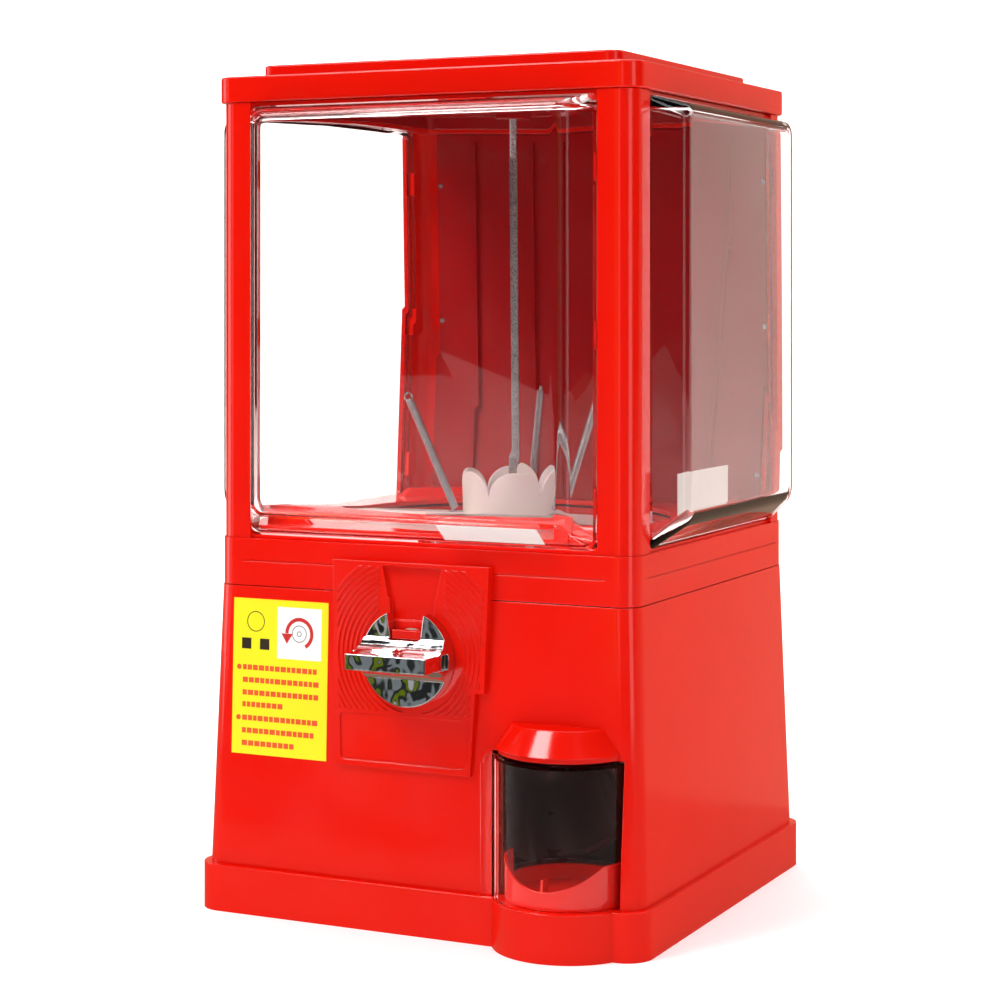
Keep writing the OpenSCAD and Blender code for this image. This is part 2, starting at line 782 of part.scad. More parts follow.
module pawl_pin() {
    color(steel) {
        along_y(box_back + 0.2, 9, 1.5, pawl_x, pawl_z);
        along_y(ratchet_y + 5.8, 1, 3, pawl_x, pawl_z);
    }
}

// Small torsion spring on the pawl's pin
module pawl_spring() {
    turns = 3;
    color(steel) {
        for (i = [0 : turns - 1])
            translate([pawl_x, ratchet_y + 3.55 + i * 0.7, pawl_z]) rotate([90, 0, 0])
                rotate_extrude() translate([2.4, 0]) circle(r = 0.34, $fn = 16);
        translate([pawl_x, ratchet_y + 3.25, pawl_z + 2.1]) cube([14, 0.6, 0.6]);
    }
}

// ---------- wheel, its crown and springs ----------

module crown_ring() {
    root_half = tooth_w / 2 + tooth_down * tooth_slope;
    tip_half = tooth_w / 2 - tooth_up * tooth_slope;
    ring_z = crown_z + tooth_down;
    ring(ring_z, ring_z + 4.5, crown_r + face_w / 2 + 1, wheel_r - 1);
    for (i = [0 : crown_teeth - 1])
        rotate(-90 + (i + 0.5) * 360 / crown_teeth)
            translate([crown_r - face_w / 2, 0, 0]) rotate([90, 0, 90]) linear_extrude(face_w)
                polygon([[-root_half, ring_z + 1], [-root_half, ring_z], [-tip_half, crown_z - tooth_up],
                         [tip_half, crown_z - tooth_up], [root_half, ring_z], [root_half, ring_z + 1]]);
}

module hopper_wheel() {
    color([0.93, 0.92, 0.9]) {
        difference() {
            union() {
                // top disc, outer skirt, pocket walls and hub
                translate([0, 0, wheel_top - 4]) cylinder(r = wheel_r, h = 4);
                ring(wheel_z, wheel_top, wheel_r, wheel_r - 2);
                for (i = [0 : pockets - 1])
                    rotate(first_pocket + i * 360 / pockets) translate([pocket_at, 0, wheel_z])
                        cylinder(r = pocket_r + 1.7, h = wheel_top - wheel_z);
                translate([0, 0, wheel_z]) cylinder(r = 17, h = wheel_top - wheel_z);
            }
            for (i = [0 : pockets - 1])
                rotate(first_pocket + i * 360 / pockets) translate([pocket_at, 0, wheel_z - 1])
                    cylinder(r = pocket_r, h = 80);
            translate([0, 0, wheel_z - 1]) cylinder(r = 13.05, h = 80);
        }
        crown_ring();
    }
}

module wheel_bush() {
    color([0.25, 0.25, 0.27]) ring(wheel_z, wheel_top - 3.4, 13, 10 + run);
}

module thrust_washer() {
    color([0.9, 0.9, 0.86]) ring(floor_z, floor_z + 0.9, 17, 10.3);
}

// Six round-topped petals round the rod
module petal_crown() {
    petals = 6;
    petal_half = 15.4;
    petal_top = 258;
    color([0.95, 0.93, 0.92]) difference() {
        intersection() {
            ring(wheel_top, petal_top + 1, crown_petal_r, crown_petal_r - 1.8);
            union() {
                for (i = [0 : petals / 2 - 1])
                    rotate(-62 + i * 360 / petals) translate([-40, 0, 0]) rotate([90, 0, 90])
                        linear_extrude(80) {
                            translate([0, petal_top - petal_half]) circle(petal_half);
                            translate([-petal_half, wheel_top])
                                square([2 * petal_half, petal_top - petal_half - wheel_top]);
                        }
                translate([0, 0, wheel_top]) cylinder(r = 40, h = 21);
            }
        }
        for (i = [0 : 2])
            at_spring(i) translate([20, 0, spring_foot[1]]) rotate([0, 90, 0]) cylinder(r = 1.42, h = 20);
    }
    color([0.95, 0.93, 0.92]) ring(wheel_top, wheel_top + 2, crown_petal_r - 1, 13.05);
}

module at_spring(i) {
    rotate(spring_az[i]) children();
}

module spring_bolts() {
    color(steel) for (i = [0 : 2]) at_spring(i) translate([0, 0, spring_foot[1]]) rotate([0, 90, 0]) {
        translate([0, 0, crown_petal_r - 4.4]) cylinder(r = 3, h = 2.4, $fn = 6);
        translate([0, 0, crown_petal_r - 2.2]) cylinder(r = 1.4, h = 9.5);
        translate([0, 0, crown_petal_r + 5.7]) cylinder(r = 3, h = 0.8);
        translate([0, 0, crown_petal_r + 6.45]) cylinder(r = 3.1, h = 2.4);
    }
}

// Close-wound steel spring that leans out to stir the capsules
module agitator_spring(i) {
    lean = atan2(spring_tip[0] - spring_foot[0], spring_tip[1] - spring_foot[1]);
    length = norm(spring_tip - spring_foot);
    wire_r = 0.55;
    coil_r = 2.5;
    color([0.7, 0.71, 0.72])
        at_spring(i) translate([spring_foot[0], 0, spring_foot[1]]) rotate([0, lean, 0]) {
            translate([0, 0, 7]) cylinder(r = coil_r, h = length - 10);
            // the lower eye hangs on its bolt by a straight neck
            translate([0, 0, 2.1]) cylinder(r = wire_r, h = 5);
            rotate([0, 90, 0]) rotate_extrude() translate([2.3, 0]) circle(wire_r, $fn = 16);
            translate([0, 0, length - 1.2]) rotate([90, 0, 0])
                rotate_extrude() translate([2.3, 0]) circle(wire_r, $fn = 16);
        }
}

// ---------- rod, lid and lock ----------

module center_rod() {
    color(steel) translate([0, 0, floor_z - 20]) cylinder(r = 2.5, h = rod_top - floor_z + 20);
}

module rod_nuts() {
    color(steel) {
        difference() {
            union() {
                translate([0, 0, floor_z - 14]) cylinder(r = 4.6, h = 4, $fn = 6);
                translate([0, 0, wheel_top - 3]) cylinder(r = 4.6, h = 4, $fn = 6);
            }
            translate([0, 0, floor_z - 30]) cylinder(r = 2.52, h = 120);
        }
    }
}

// Outer shell of the lid, with its raised plate and the dish round the lock
module lid() {
    inner_w = lid_w - 10;
    inner_d = lid_d - 10;
    color(red) difference() {
        union() {
            block(lid_w, lid_d, 12, lid_z, lid_z + lid_h);
            block(236, 212, 9, lid_z + lid_h - eps, lid_top);
        }
        block(inner_w, inner_d, 8, lid_z - 1, lid_z + lid_h - wall);
        difference() {
            block(230, 206, 6, lid_z, lid_top - wall);
            translate([0, 0, lid_z]) cylinder(r = 23, h = 40);
        }
        difference() {
            translate([0, 0, lid_z - 1]) cylinder(r = 23, h = lid_top - 7 - lid_z + 1);
            translate([0, 0, lid_z - 2]) cylinder(r = 12, h = 40);
        }
        translate([0, 0, lid_z - 1]) cylinder(r = 12.1, h = liner_z + liner_t - lid_z + 1.2);
        translate([0, 0, lid_z - 10]) cylinder(r = 9.1, h = 60);
        translate([0, 0, lid_top - 4]) cylinder(r = 20, h = 10);
    }
}

// Flat ceiling inside the lid, with the lip that drops into the frame and the boss for the rod
module lid_liner() {
    color([0.6, 0.02, 0.03]) difference() {
        union() {
            block(lid_w - 10.4, lid_d - 10.4, 7.8, liner_z, liner_z + liner_t);
            difference() {
                block(238, 217, 6, lid_z - 4, liner_z + eps);
                block(234, 213, 5, lid_z - 5, liner_z + 2 * eps);
            }
            translate([0, 0, lid_z - 6]) cylinder(r = 11, h = liner_z - lid_z + 7);
        }
        translate([0, 0, lid_z - 10]) cylinder(r = 2.8, h = 40);
    }
}

module lid_lock() {
    color([0.85, 0.86, 0.88]) difference() {
        union() {
            translate([0, 0, lid_z + 8.8]) cylinder(r = 9, h = lid_top - 4.2 - lid_z - 8.8 + 1);
            translate([0, 0, lid_top - 3.8]) cylinder(r = 14, h = 2.2);
            translate([0, 0, lid_top - 1.8]) cylinder(r = 8, h = 1.2);
        }
        translate([0, 0, lid_z]) cylinder(r = 2.5 + run, h = rod_top - lid_z + 0.6);
        translate([0, 0, lid_top - 4]) difference() {
            cylinder(r = 4.2, h = 10);
            cylinder(r = 3, h = 10);
        }
    }
}

// ---------- labels and card ----------

wall_lean = atan2((foot_d - seam_d) / 2, seam_z - skirt_h);

module notice_label() {
    color([1, 0.93, 0]) translate([-90.5, -foot_d / 2 - 0.02, skirt_h]) rotate([-wall_lean, 0, 0])
        translate([-32.5, -0.35, 66.5]) cube([65, 0.35, 92.5]);
}

module window_label_strip() {
    rise = face_lo - win_lo;
    slope_a = atan2(rise, window_proud);
    color("white") translate([20, -post_d / 2 - window_proud, face_lo]) rotate([-slope_a, 0, 0])
        translate([0, 4, -0.42]) cube([63, 15, 0.4]);
}

module display_card() {
    color("white") translate([post_w / 2 + 10, -86, face_lo + 2.9]) cube([0.8, 76, 24]);
}

base_skirt();
lower_cabinet();
hopper_band();
upper_frame();
back_panel();
front_window();
left_window();
right_window();
window_clips();
panel_screws();
hopper_funnel();
capsule_baffle();
hopper_floor();
chute_elbow();
outlet_housing();
outlet_tray();
outlet_cap();
outlet_door();
door_pivot_screw();
mech_plate();
mech_box();
mech_screws();
front_bush();
rear_bush();
turn_knob();
coin_carrier();
drive_shaft();
drive_gear();
ratchet_wheel();
shaft_clip();
pawl();
pawl_pin();
pawl_spring();
hopper_wheel();
wheel_bush();
thrust_washer();
petal_crown();
spring_bolts();
agitator_spring(0);  // agitator_spring_1
agitator_spring(1);  // agitator_spring_2
agitator_spring(2);  // agitator_spring_3
center_rod();
rod_nuts();
lid();
lid_liner();
lid_lock();
base_screws();
deck_screws();
frame_screws();
notice_label();
window_label_strip();
display_card();
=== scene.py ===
# %% [markdown]
# # A counter-top capsule toy vendor
# The machine is a red moulded cabinet with a clear hopper on top. A chrome knob on the front turns a
# drop wheel inside, and one toy capsule falls into the outlet at the lower right.
# Every part that has a real size comes in as a fixed frame from the CAD model. This lesson gives those
# parts their finishes, and makes new surfaces where the real shape is softer than the CAD solid.

import json
import math

import bpy
import numpy as np
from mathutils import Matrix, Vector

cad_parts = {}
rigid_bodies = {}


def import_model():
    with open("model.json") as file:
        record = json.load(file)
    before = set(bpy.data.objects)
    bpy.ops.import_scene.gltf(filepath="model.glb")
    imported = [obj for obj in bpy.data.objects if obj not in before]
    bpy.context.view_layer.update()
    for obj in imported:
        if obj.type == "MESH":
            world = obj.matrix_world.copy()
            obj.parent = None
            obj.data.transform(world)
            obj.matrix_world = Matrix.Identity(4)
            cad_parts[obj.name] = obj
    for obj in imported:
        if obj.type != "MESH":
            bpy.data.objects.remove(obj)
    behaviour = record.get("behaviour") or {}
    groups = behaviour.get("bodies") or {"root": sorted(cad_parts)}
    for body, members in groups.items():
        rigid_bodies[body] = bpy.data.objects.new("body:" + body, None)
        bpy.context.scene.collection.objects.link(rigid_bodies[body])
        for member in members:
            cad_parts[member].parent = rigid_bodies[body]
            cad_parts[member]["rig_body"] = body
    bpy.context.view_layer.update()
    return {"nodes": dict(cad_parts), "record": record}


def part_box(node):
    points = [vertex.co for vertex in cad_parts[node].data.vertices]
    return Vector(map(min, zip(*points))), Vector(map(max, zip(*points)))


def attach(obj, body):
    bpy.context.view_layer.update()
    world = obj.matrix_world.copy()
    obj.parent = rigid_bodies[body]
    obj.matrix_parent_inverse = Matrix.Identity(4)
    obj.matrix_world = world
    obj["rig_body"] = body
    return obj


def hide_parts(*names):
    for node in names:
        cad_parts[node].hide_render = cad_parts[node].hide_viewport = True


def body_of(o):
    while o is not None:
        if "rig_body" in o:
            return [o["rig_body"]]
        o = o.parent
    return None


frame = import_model()
MM = 0.001
SLOT_OF = {part["node"]: part["material_slot"] for part in frame["record"]["subparts"]}
BODY_OF = {name: body_of(part)[0] for name, part in frame["nodes"].items()}

# %% [markdown]
# ## Small helpers
# Colours are written as the hex values that a paint chart gives, and Blender computes with linear
# light, so one function turns one into the other. A second function adds a shader node with its
# settings and its links in one call, which keeps each material down to a readable list.

# %% Colour and node helpers


def linear(code, alpha=1.0):
    """sRGB hex to linear light: below 0.04045 divide by 12.92, else ((c + 0.055) / 1.055) ** 2.4."""
    c = np.array([int(code[i : i + 2], 16) / 255 for i in (1, 3, 5)])
    c = np.where(c <= 0.04045, c / 12.92, ((c + 0.055) / 1.055) ** 2.4)
    return (*c.tolist(), alpha)


def add(tree, kind, settings=None, inputs=None):
    """Adds one node. A socket among the inputs becomes a link, and anything else a plain value."""
    made = tree.nodes.new("ShaderNode" + kind)
    for key, value in (settings or {}).items():
        setattr(made, key, value)
    for key, value in (inputs or {}).items():
        if isinstance(value, bpy.types.NodeSocket):
            tree.links.new(value, made.inputs[key])
        else:
            made.inputs[key].default_value = value
    return made


def blank_material(name):
    """A new material with an empty tree and its output node."""
    material = bpy.data.materials.new(name)
    material.use_nodes = True
    material.node_tree.nodes.clear()
    return material, material.node_tree, add(material.node_tree, "OutputMaterial")


def feature(size_mm):
    """Noise scale whose blotches are about size_mm across: one over the size in metres."""
    return 1 / (size_mm * MM)


print("red", [round(v, 3) for v in linear("#E8170A")])

# %% [markdown]
# ## Glossy moulded ABS
# ABS is the hard plastic of toys and appliances. It leaves a polished steel mould with a high gloss, so
# its roughness is low and its index of refraction is about 1.54. Two things keep it from looking like
# paint on glass: the colour drifts a little over some centimetres where the melt flowed, and the skin
# has a very shallow waviness, a few millimetres from crest to crest, that bends reflections.
# The Bevel node turns the normals near an edge over a small radius, so that each edge catches light.

# %% Moulded plastic


def moulded_plastic(name, tint, deep, rough, wave_mm=7.0, wave=0.12, ior=1.54, scatter=0.0, edge_mm=0.8):
    """Moulded plastic: colour drifts from tint to deep, over a shallow wave and edges rounded by edge_mm."""
    material, tree, out = blank_material(name)
    at = add(tree, "TexCoord").outputs["Object"]
    flow = add(tree, "TexNoise", None, {"Vector": at, "Scale": feature(70), "Detail": 3.0})
    colour = add(tree, "Mix", {"data_type": "RGBA"}, {0: flow.outputs[0]})
    colour.inputs[6].default_value, colour.inputs[7].default_value = linear(tint), linear(deep)
    haze = add(tree, "TexNoise", None, {"Vector": at, "Scale": feature(24), "Detail": 5.0})
    gloss = add(tree, "MapRange", None, {"Value": haze.outputs[0], "From Min": 0.3, "From Max": 0.7,
                                         "To Min": rough * 0.8, "To Max": rough * 1.3})
    skin = add(tree, "TexNoise", None, {"Vector": at, "Scale": feature(wave_mm), "Detail": 2.0})
    edge = add(tree, "Bevel", {"samples": 4}, {"Radius": edge_mm * MM})
    bump = add(tree, "Bump", None, {"Height": skin.outputs[0], "Strength": wave, "Distance": 0.3 * MM,
                                    "Normal": edge.outputs[0]})
    shader = add(tree, "BsdfPrincipled", None, {
        "Base Color": colour.outputs[2], "Roughness": gloss.outputs[0], "Normal": bump.outputs[0],
        "IOR": ior, "Subsurface Weight": scatter, "Subsurface Scale": 2 * MM})
    tree.links.new(shader.outputs[0], out.inputs["Surface"])
    return material


FINISH = {
    "red_abs": moulded_plastic("glossy_red_abs", "#F01604", "#E61002", 0.13),
    # dark red plastic, darkened to near black as painted shade for the shade inside the chute and the outlet
    "dark_red_abs": moulded_plastic("painted_shade_maroon_abs", "#4A0404", "#380202", 0.3, ior=1.36),
    "black_plastic": moulded_plastic("satin_black_plastic", "#1B1B1E", "#121214", 0.42, 2.0, 0.25),
    "nylon": moulded_plastic("natural_nylon", "#ECE7D8", "#E2DCCB", 0.4, 3.0, 0.15, 1.53, 0.15),
    "white_plastic": moulded_plastic("white_polypropylene", "#FCF8F6", "#F4F0EE", 0.36, 5.0, 0.1, 1.49, 0.3),
}
# Painted shade: the back panel and the lid's liner inside the hopper take a deeper red than the cabinet,
# which stands in for the shade in there.
PAINTED_SHADE_RED = moulded_plastic("painted_shade_red_abs", "#B01016", "#A20D13", 0.16)
print(sorted(FINISH))

# %% [markdown]
# ## Bright metals
# The rod, bolts and springs are zinc-plated steel: bright, but with a fine grain that spreads the
# highlights. The knob is a zinc casting under polished chrome, which is close to a mirror. A metal's
# colour is its reflection, so its metallic value is 1 and its index of refraction stays at the default.
# The casting is not quite flat, so the chrome has a wave of some 24 mm that breaks up its reflections.

# %% Metals


def plated_metal(name, bright, dull, rough, grain_mm, dent=0.1, edge_mm=0.3, deep_mm=0.05):
    """Metal whose plating varies from bright to dull, with a fine grain and edges rounded by edge_mm."""
    material, tree, out = blank_material(name)
    at = add(tree, "TexCoord").outputs["Object"]
    cloud = add(tree, "TexNoise", None, {"Vector": at, "Scale": feature(9), "Detail": 4.0})
    colour = add(tree, "Mix", {"data_type": "RGBA"}, {0: cloud.outputs[0]})
    colour.inputs[6].default_value, colour.inputs[7].default_value = linear(bright), linear(dull)
    grain = add(tree, "TexNoise", None, {"Vector": at, "Scale": feature(grain_mm), "Detail": 2.0})
    gloss = add(tree, "MapRange", None, {"Value": grain.outputs[0], "From Min": 0.3, "From Max": 0.7,
                                         "To Min": rough * 0.7, "To Max": rough * 1.3})
    edge = add(tree, "Bevel", {"samples": 6}, {"Radius": edge_mm * MM})
    bump = add(tree, "Bump", None, {"Height": grain.outputs[0], "Strength": dent, "Distance": deep_mm * MM,
                                    "Normal": edge.outputs[0]})
    shader = add(tree, "BsdfPrincipled", None, {
        "Base Color": colour.outputs[2], "Roughness": gloss.outputs[0], "Metallic": 1.0,
        "Normal": bump.outputs[0]})
    tree.links.new(shader.outputs[0], out.inputs["Surface"])
    return material


FINISH["steel"] = plated_metal("zinc_plated_steel", "#C9CBCE", "#A9ABAE", 0.28, 0.8)
FINISH["spring_steel"] = plated_metal("zinc_plated_wire", "#D2D5D8", "#B4B8BC", 0.22, 0.6)
FINISH["chrome"] = plated_metal("polished_chrome", "#E4E6E8", "#D8DADC", 0.05, 24.0, 0.9, 1.1, 1.4)
print("metals", FINISH["chrome"].name)

# %% [markdown]
# ## Clear acrylic
# The windows and the outlet's door are injection-moulded acrylic, 2 to 2.5 mm thick, with an index of
# 1.49 and a faint warm cast that shows along their edges. Real glass in a path tracer keeps lamps out of
# what it encloses, so rays from lamps pass a plain transparent surface instead, tinted by the same cast.
# The small door in front of the dark chute has a lower index, which keeps its reflections faint.

# %% Clear plastic


def clear_plastic(name, tint, shade_tint, rough=0.012, ior=1.49):
    """Clear moulded sheet: refracting for sight, transparent for lamps, with a long shallow wave."""
    material, tree, out = blank_material(name)
    at = add(tree, "TexCoord").outputs["Object"]
    flow = add(tree, "TexNoise", None, {"Vector": at, "Scale": feature(90), "Detail": 1.0})
    bump = add(tree, "Bump", None, {"Height": flow.outputs[0], "Strength": 0.04, "Distance": 0.4 * MM})
    sheet = add(tree, "BsdfPrincipled", None, {
        "Base Color": linear(tint), "Roughness": rough, "IOR": ior, "Transmission Weight": 1.0,
        "Normal": bump.outputs[0]})
    lamp = add(tree, "BsdfTransparent", None, {"Color": linear(shade_tint)})
    path = add(tree, "LightPath")
    both = add(tree, "MixShader", None, {
        0: path.outputs["Is Shadow Ray"], 1: sheet.outputs[0], 2: lamp.outputs[0]})
    tree.links.new(both.outputs[0], out.inputs["Surface"])
    return material


FINISH["clear_window"] = clear_plastic("clear_acrylic", "#FDF6F4", "#F6EFEC")
CLEAR_DOOR = clear_plastic("clear_door_acrylic", "#FBEFEC", "#F0E4E0", ior=1.2)
print("clear", FINISH["clear_window"].name, CLEAR_DOOR.name)

# %% [markdown]
# ## Printed and plain card
# The notice is a vinyl sticker and the two blank labels are coated card. Paper and vinyl show a faint
# fibre or roller texture under about half a millimetre, drawn here a little coarser so that it shows.

# %% Card and vinyl


def printed_sheet(name, tint, deep, rough, fibre_mm):
    """A matt to semi-gloss sheet with a faint fibre texture and a slight drift of tone."""
    material, tree, out = blank_material(name)
    at = add(tree, "TexCoord").outputs["Object"]
    tone = add(tree, "TexNoise", None, {"Vector": at, "Scale": feature(30), "Detail": 2.0})
    colour = add(tree, "Mix", {"data_type": "RGBA"}, {0: tone.outputs[0]})
    colour.inputs[6].default_value, colour.inputs[7].default_value = linear(tint), linear(deep)
    fibre = add(tree, "TexNoise", None, {"Vector": at, "Scale": feature(fibre_mm), "Detail": 3.0})
    bump = add(tree, "Bump", None, {"Height": fibre.outputs[0], "Strength": 0.15, "Distance": 0.08 * MM})
    gloss = add(tree, "MapRange", None, {"Value": fibre.outputs[0], "To Min": rough, "To Max": rough + 0.12})
    shader = add(tree, "BsdfPrincipled", None, {
        "Base Color": colour.outputs[2], "Roughness": gloss.outputs[0], "Normal": bump.outputs[0],
        "IOR": 1.5})
    tree.links.new(shader.outputs[0], out.inputs["Surface"])
    return material


FINISH["yellow_label"] = printed_sheet("yellow_vinyl", "#FFF200", "#FBE900", 0.32, 1.2)
FINISH["white_label"] = printed_sheet("white_card", "#F4F3F0", "#E9E7E3", 0.5, 0.9)
INK = printed_sheet("dark_brown_ink", "#3A2A1A", "#2C1E12", 0.38, 1.2)
ORANGE_INK = printed_sheet("orange_ink", "#F0591E", "#E84C16", 0.38, 1.2)
WHITE_INK = printed_sheet("white_ink", "#FCFCFB", "#F6F6F4", 0.38, 1.2)
RED_INK = printed_sheet("red_ink", "#D8231C", "#C81C16", 0.38, 1.2)
missing = sorted(set(SLOT_OF.values()) - set(FINISH))
print("slots without a finish:", missing)

# %% [markdown]
# ## CAD parts with softened edges
# A moulded part has no knife edges: each corner carries a small radius that catches a thin highlight.
# The CAD mesh is loose triangles, so a copy of it is welded, its flat faces are joined again, edges
# sharper than 30 degrees stay sharp, and a narrow bevel rounds them. The CAD mesh itself is untouched.

# %% Welded copies
import bmesh

SHARP = math.radians(30)


def adopt(mesh, name, node=None, body=None, slot=None, material=None):
    """Makes an object of a mesh, with its finish and its body, and hides the node it stands for."""
    piece = bpy.data.objects.new(name, mesh)
    bpy.context.scene.collection.objects.link(piece)
    slot = slot or SLOT_OF[node]
    mesh.materials.append(material or FINISH[slot])
    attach(piece, body or BODY_OF[node])
    if node:
        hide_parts(node)
    return piece


def softened(node, radius_mm, material=None):
    """Copy of a CAD node: weld, dissolve flat joints, mark edges over 30 degrees sharp, bevel them."""
    mesh = frame["nodes"][node].data.copy()
    mesh.name = node + "_moulded"
    mesh.materials.clear()
    work = bmesh.new()
    work.from_mesh(mesh)
    bmesh.ops.remove_doubles(work, verts=work.verts, dist=2e-6)
    bmesh.ops.dissolve_limit(work, angle_limit=math.radians(0.3), verts=work.verts, edges=work.edges)
    for face in work.faces:
        face.smooth = True
    for edge in work.edges:
        edge.smooth = len(edge.link_faces) == 2 and edge.calc_face_angle(0.0) < SHARP
    work.to_mesh(mesh)
    work.free()
    piece = adopt(mesh, node + "_piece", node, material=material)
    if radius_mm:
        bevel = piece.modifiers.new("edge radius", "BEVEL")
        bevel.width, bevel.segments = radius_mm * MM, 2
        bevel.limit_method, bevel.angle_limit = "ANGLE", SHARP
        bevel.harden_normals = True
    return piece


SHELLS = {  # edge radius of each moulded part, in millimetres
    "base_skirt": 1.2, "lower_cabinet": 0.8, "hopper_band": 0.7, "upper_frame": 0.8, "back_panel": 0.5,
    "window_clips": 0.4, "hopper_funnel": 0.5, "capsule_baffle": 0.2, "hopper_floor": 0.4,
    "chute_elbow": 0.0, "outlet_housing": 0.2, "outlet_tray": 0.4, "outlet_cap": 0.9,
    "mech_plate": 0.22, "mech_box": 0.4, "coin_carrier": 0.3, "drive_gear": 0.15, "ratchet_wheel": 0.15,
    "pawl": 0.2, "hopper_wheel": 0.3, "wheel_bush": 0.2, "thrust_washer": 0.15, "front_bush": 0.15,
    "rear_bush": 0.15, "lid": 1.1, "lid_liner": 0.4, "lid_lock": 0.35, "turn_knob": 0.7,
    "drive_shaft": 0.2, "shaft_clip": 0.1, "pawl_pin": 0.1, "pawl_spring": 0.0, "rod_nuts": 0.2,
    "spring_bolts": 0.15, "base_screws": 0.15, "deck_screws": 0.15, "frame_screws": 0.15,
    "panel_screws": 0.15, "mech_screws": 0.15, "door_pivot_screw": 0.2, "outlet_door": 0.25,
}
# The back panel and the lid's liner get the deeper red of painted shade, and the outlet's door gets its own
# clear finish.
DOOR_FINISH_AND_PAINTED_SHADE = {"back_panel": PAINTED_SHADE_RED, "lid_liner": PAINTED_SHADE_RED, "outlet_door": CLEAR_DOOR}
pieces = {node: softened(node, radius, DOOR_FINISH_AND_PAINTED_SHADE.get(node)) for node, radius in SHELLS.items()}
print(len(pieces), "softened copies")

# %% [markdown]
# ## Lower funnel corners
# The sloped corner pieces under the capsules hardly show over the sill of the windows, so their sharp
# tips are cut off level. A bisect does this on the mesh, and the open cut is filled again.

# %% Trim the funnel
CORNER_CUT = 15 * MM


def trimmed(piece, top):
    """Cuts a piece level at the height top and closes the cut: points above the plane z = top go."""
    work = bmesh.new()
    work.from_mesh(piece.data)
    everything = work.verts[:] + work.edges[:] + work.faces[:]
    bmesh.ops.bisect_plane(work, geom=everything, plane_co=(0, 0, top), plane_no=(0, 0, 1), clear_outer=True)
    rim = [edge for edge in work.edges if edge.is_boundary]
    bmesh.ops.edgenet_fill(work, edges=rim)
    bmesh.ops.recalc_face_normals(work, faces=work.faces)
    work.to_mesh(piece.data)
    work.free()


trimmed(pieces["hopper_funnel"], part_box("hopper_funnel")[1].z - CORNER_CUT)
print("funnel corners", len(pieces["hopper_funnel"].data.polygons), "faces")

# %% [markdown]
# ## Surfaces from arrays
# The other pieces are worked out as grids of points. One helper takes the grid, says which way round
# it closes, and makes the mesh in one go. Rows follow a profile and columns go round the section.

# %% Grid to mesh


def grid_faces(rows, columns, close_rows, close_columns, start=0):
    """Quads of a grid, wound so that rows x columns points along the outward normal."""
    i = np.arange(rows if close_rows else rows - 1)[:, None]
    j = np.arange(columns if close_columns else columns - 1)[None, :]
    a, b = i * columns + j, i * columns + (j + 1) % columns
    c, d = ((i + 1) % rows) * columns + (j + 1) % columns, ((i + 1) % rows) * columns + j
    return (start + np.stack([a, b, c, d], -1).reshape(-1, 4)).tolist()


def shaded(mesh):
    """Turns the faces outwards and shades them smooth, with edges over 30 degrees kept sharp."""
    work = bmesh.new()
    work.from_mesh(mesh)
    bmesh.ops.recalc_face_normals(work, faces=work.faces)
    for face in work.faces:
        face.smooth = True
    for edge in work.edges:
        edge.smooth = len(edge.link_faces) == 2 and edge.calc_face_angle(0.0) < SHARP
    work.to_mesh(mesh)
    work.free()
    return mesh


def surface(name, grids, close_rows=False, close_columns=True, caps=True):
    """One mesh from grids of shape rows x columns x 3, each capped at both ends, normals outwards."""
    points, faces, start = [], [], 0
    for grid in grids:
        rows, columns = grid.shape[:2]
        points.append(grid.reshape(-1, 3))
        faces += grid_faces(rows, columns, close_rows, close_columns, start)
        if caps and not close_rows:
            faces.append(list(range(start + columns - 1, start - 1, -1)))
            faces.append(list(range(start + (rows - 1) * columns, start + rows * columns)))
        start += rows * columns
    mesh = bpy.data.meshes.new(name)
    mesh.from_pydata(np.concatenate(points).tolist(), [], faces)
    return shaded(mesh)


print("grid of 3 x 4 closed round:", len(grid_faces(3, 4, False, True)), "faces")

# %% [markdown]
# ## The bulging windows
# Each window is a shallow clear box pushed out through its opening: a flange behind the posts, a neck,
# four sloping sides and a flat face with soft corners. A loft does this well. Every station is a
# rounded rectangle, and the stations run from the flange over the outside to the face and back inside.
# The turn from the slopes to the face is a quadratic curve between three rectangles.

# %% Windows


def rounded_outline(half, low, high, radius, steps=7):
    """Rounded rectangle: four corner centres plus radius times (cos, sin) of angles over each quarter."""
    turn = np.radians(np.linspace(0, 90, steps))[None, :] + np.radians([0, 90, 180, 270])[:, None]
    cx = np.array([1, -1, -1, 1])[:, None] * (half - radius)
    cz = np.array([high - radius, high - radius, low + radius, low + radius])[:, None]
    return np.stack([cx + radius * np.cos(turn), cz + radius * np.sin(turn)], -1).reshape(-1, 2)


def bent(a, b, c, count):
    """Quadratic curve between three stations: (1-t)^2 a + 2t(1-t) b + t^2 c."""
    t = np.linspace(0, 1, count)[:, None]
    return (1 - t) ** 2 * a + 2 * t * (1 - t) * b + t**2 * c


def window_stations(half, depth, proud=19.0, wall=2.5):
    """Stations (half width, low, high, corner radius, distance out) from the flange to the face and back."""
    neck = half - 0.4
    foot = np.array([neck, 224.5, 480.5, 3.0, depth])
    edge = np.array([half - 11.5, 239.5, 475.5, 8.0, depth + proud])
    face = edge + np.array([-4.0, 4.0, -4.0, -3.0, 0.0])
    slope = foot + 0.8 * (edge - foot)
    shrink = np.array([-wall, wall, -wall, -1.0, -wall])
    inner_foot = foot + np.array([-wall, 5.0, -6.5, 0.0, 0.0])
    inner_slope = inner_foot + 0.8 * (edge + shrink - inner_foot)
    outside = [[half + 4.6, 226.5, 476.2, 1.5, depth - 5.8], [half + 4.6, 226.5, 476.2, 1.5, depth - 3.3],
               [neck, 226.5, 476.2, 1.5, depth - 3.3], [neck, 226.5, 476.2, 1.5, depth], foot]
    rise = bent(slope, edge, face, 7)
    fall = bent(face + shrink, edge + shrink, inner_slope, 7)
    inside = [inner_foot, inner_foot + np.array([0, 0, 0, 0, -5.8])]
    return np.array([*outside, *rise]), np.array([*fall, *inside])


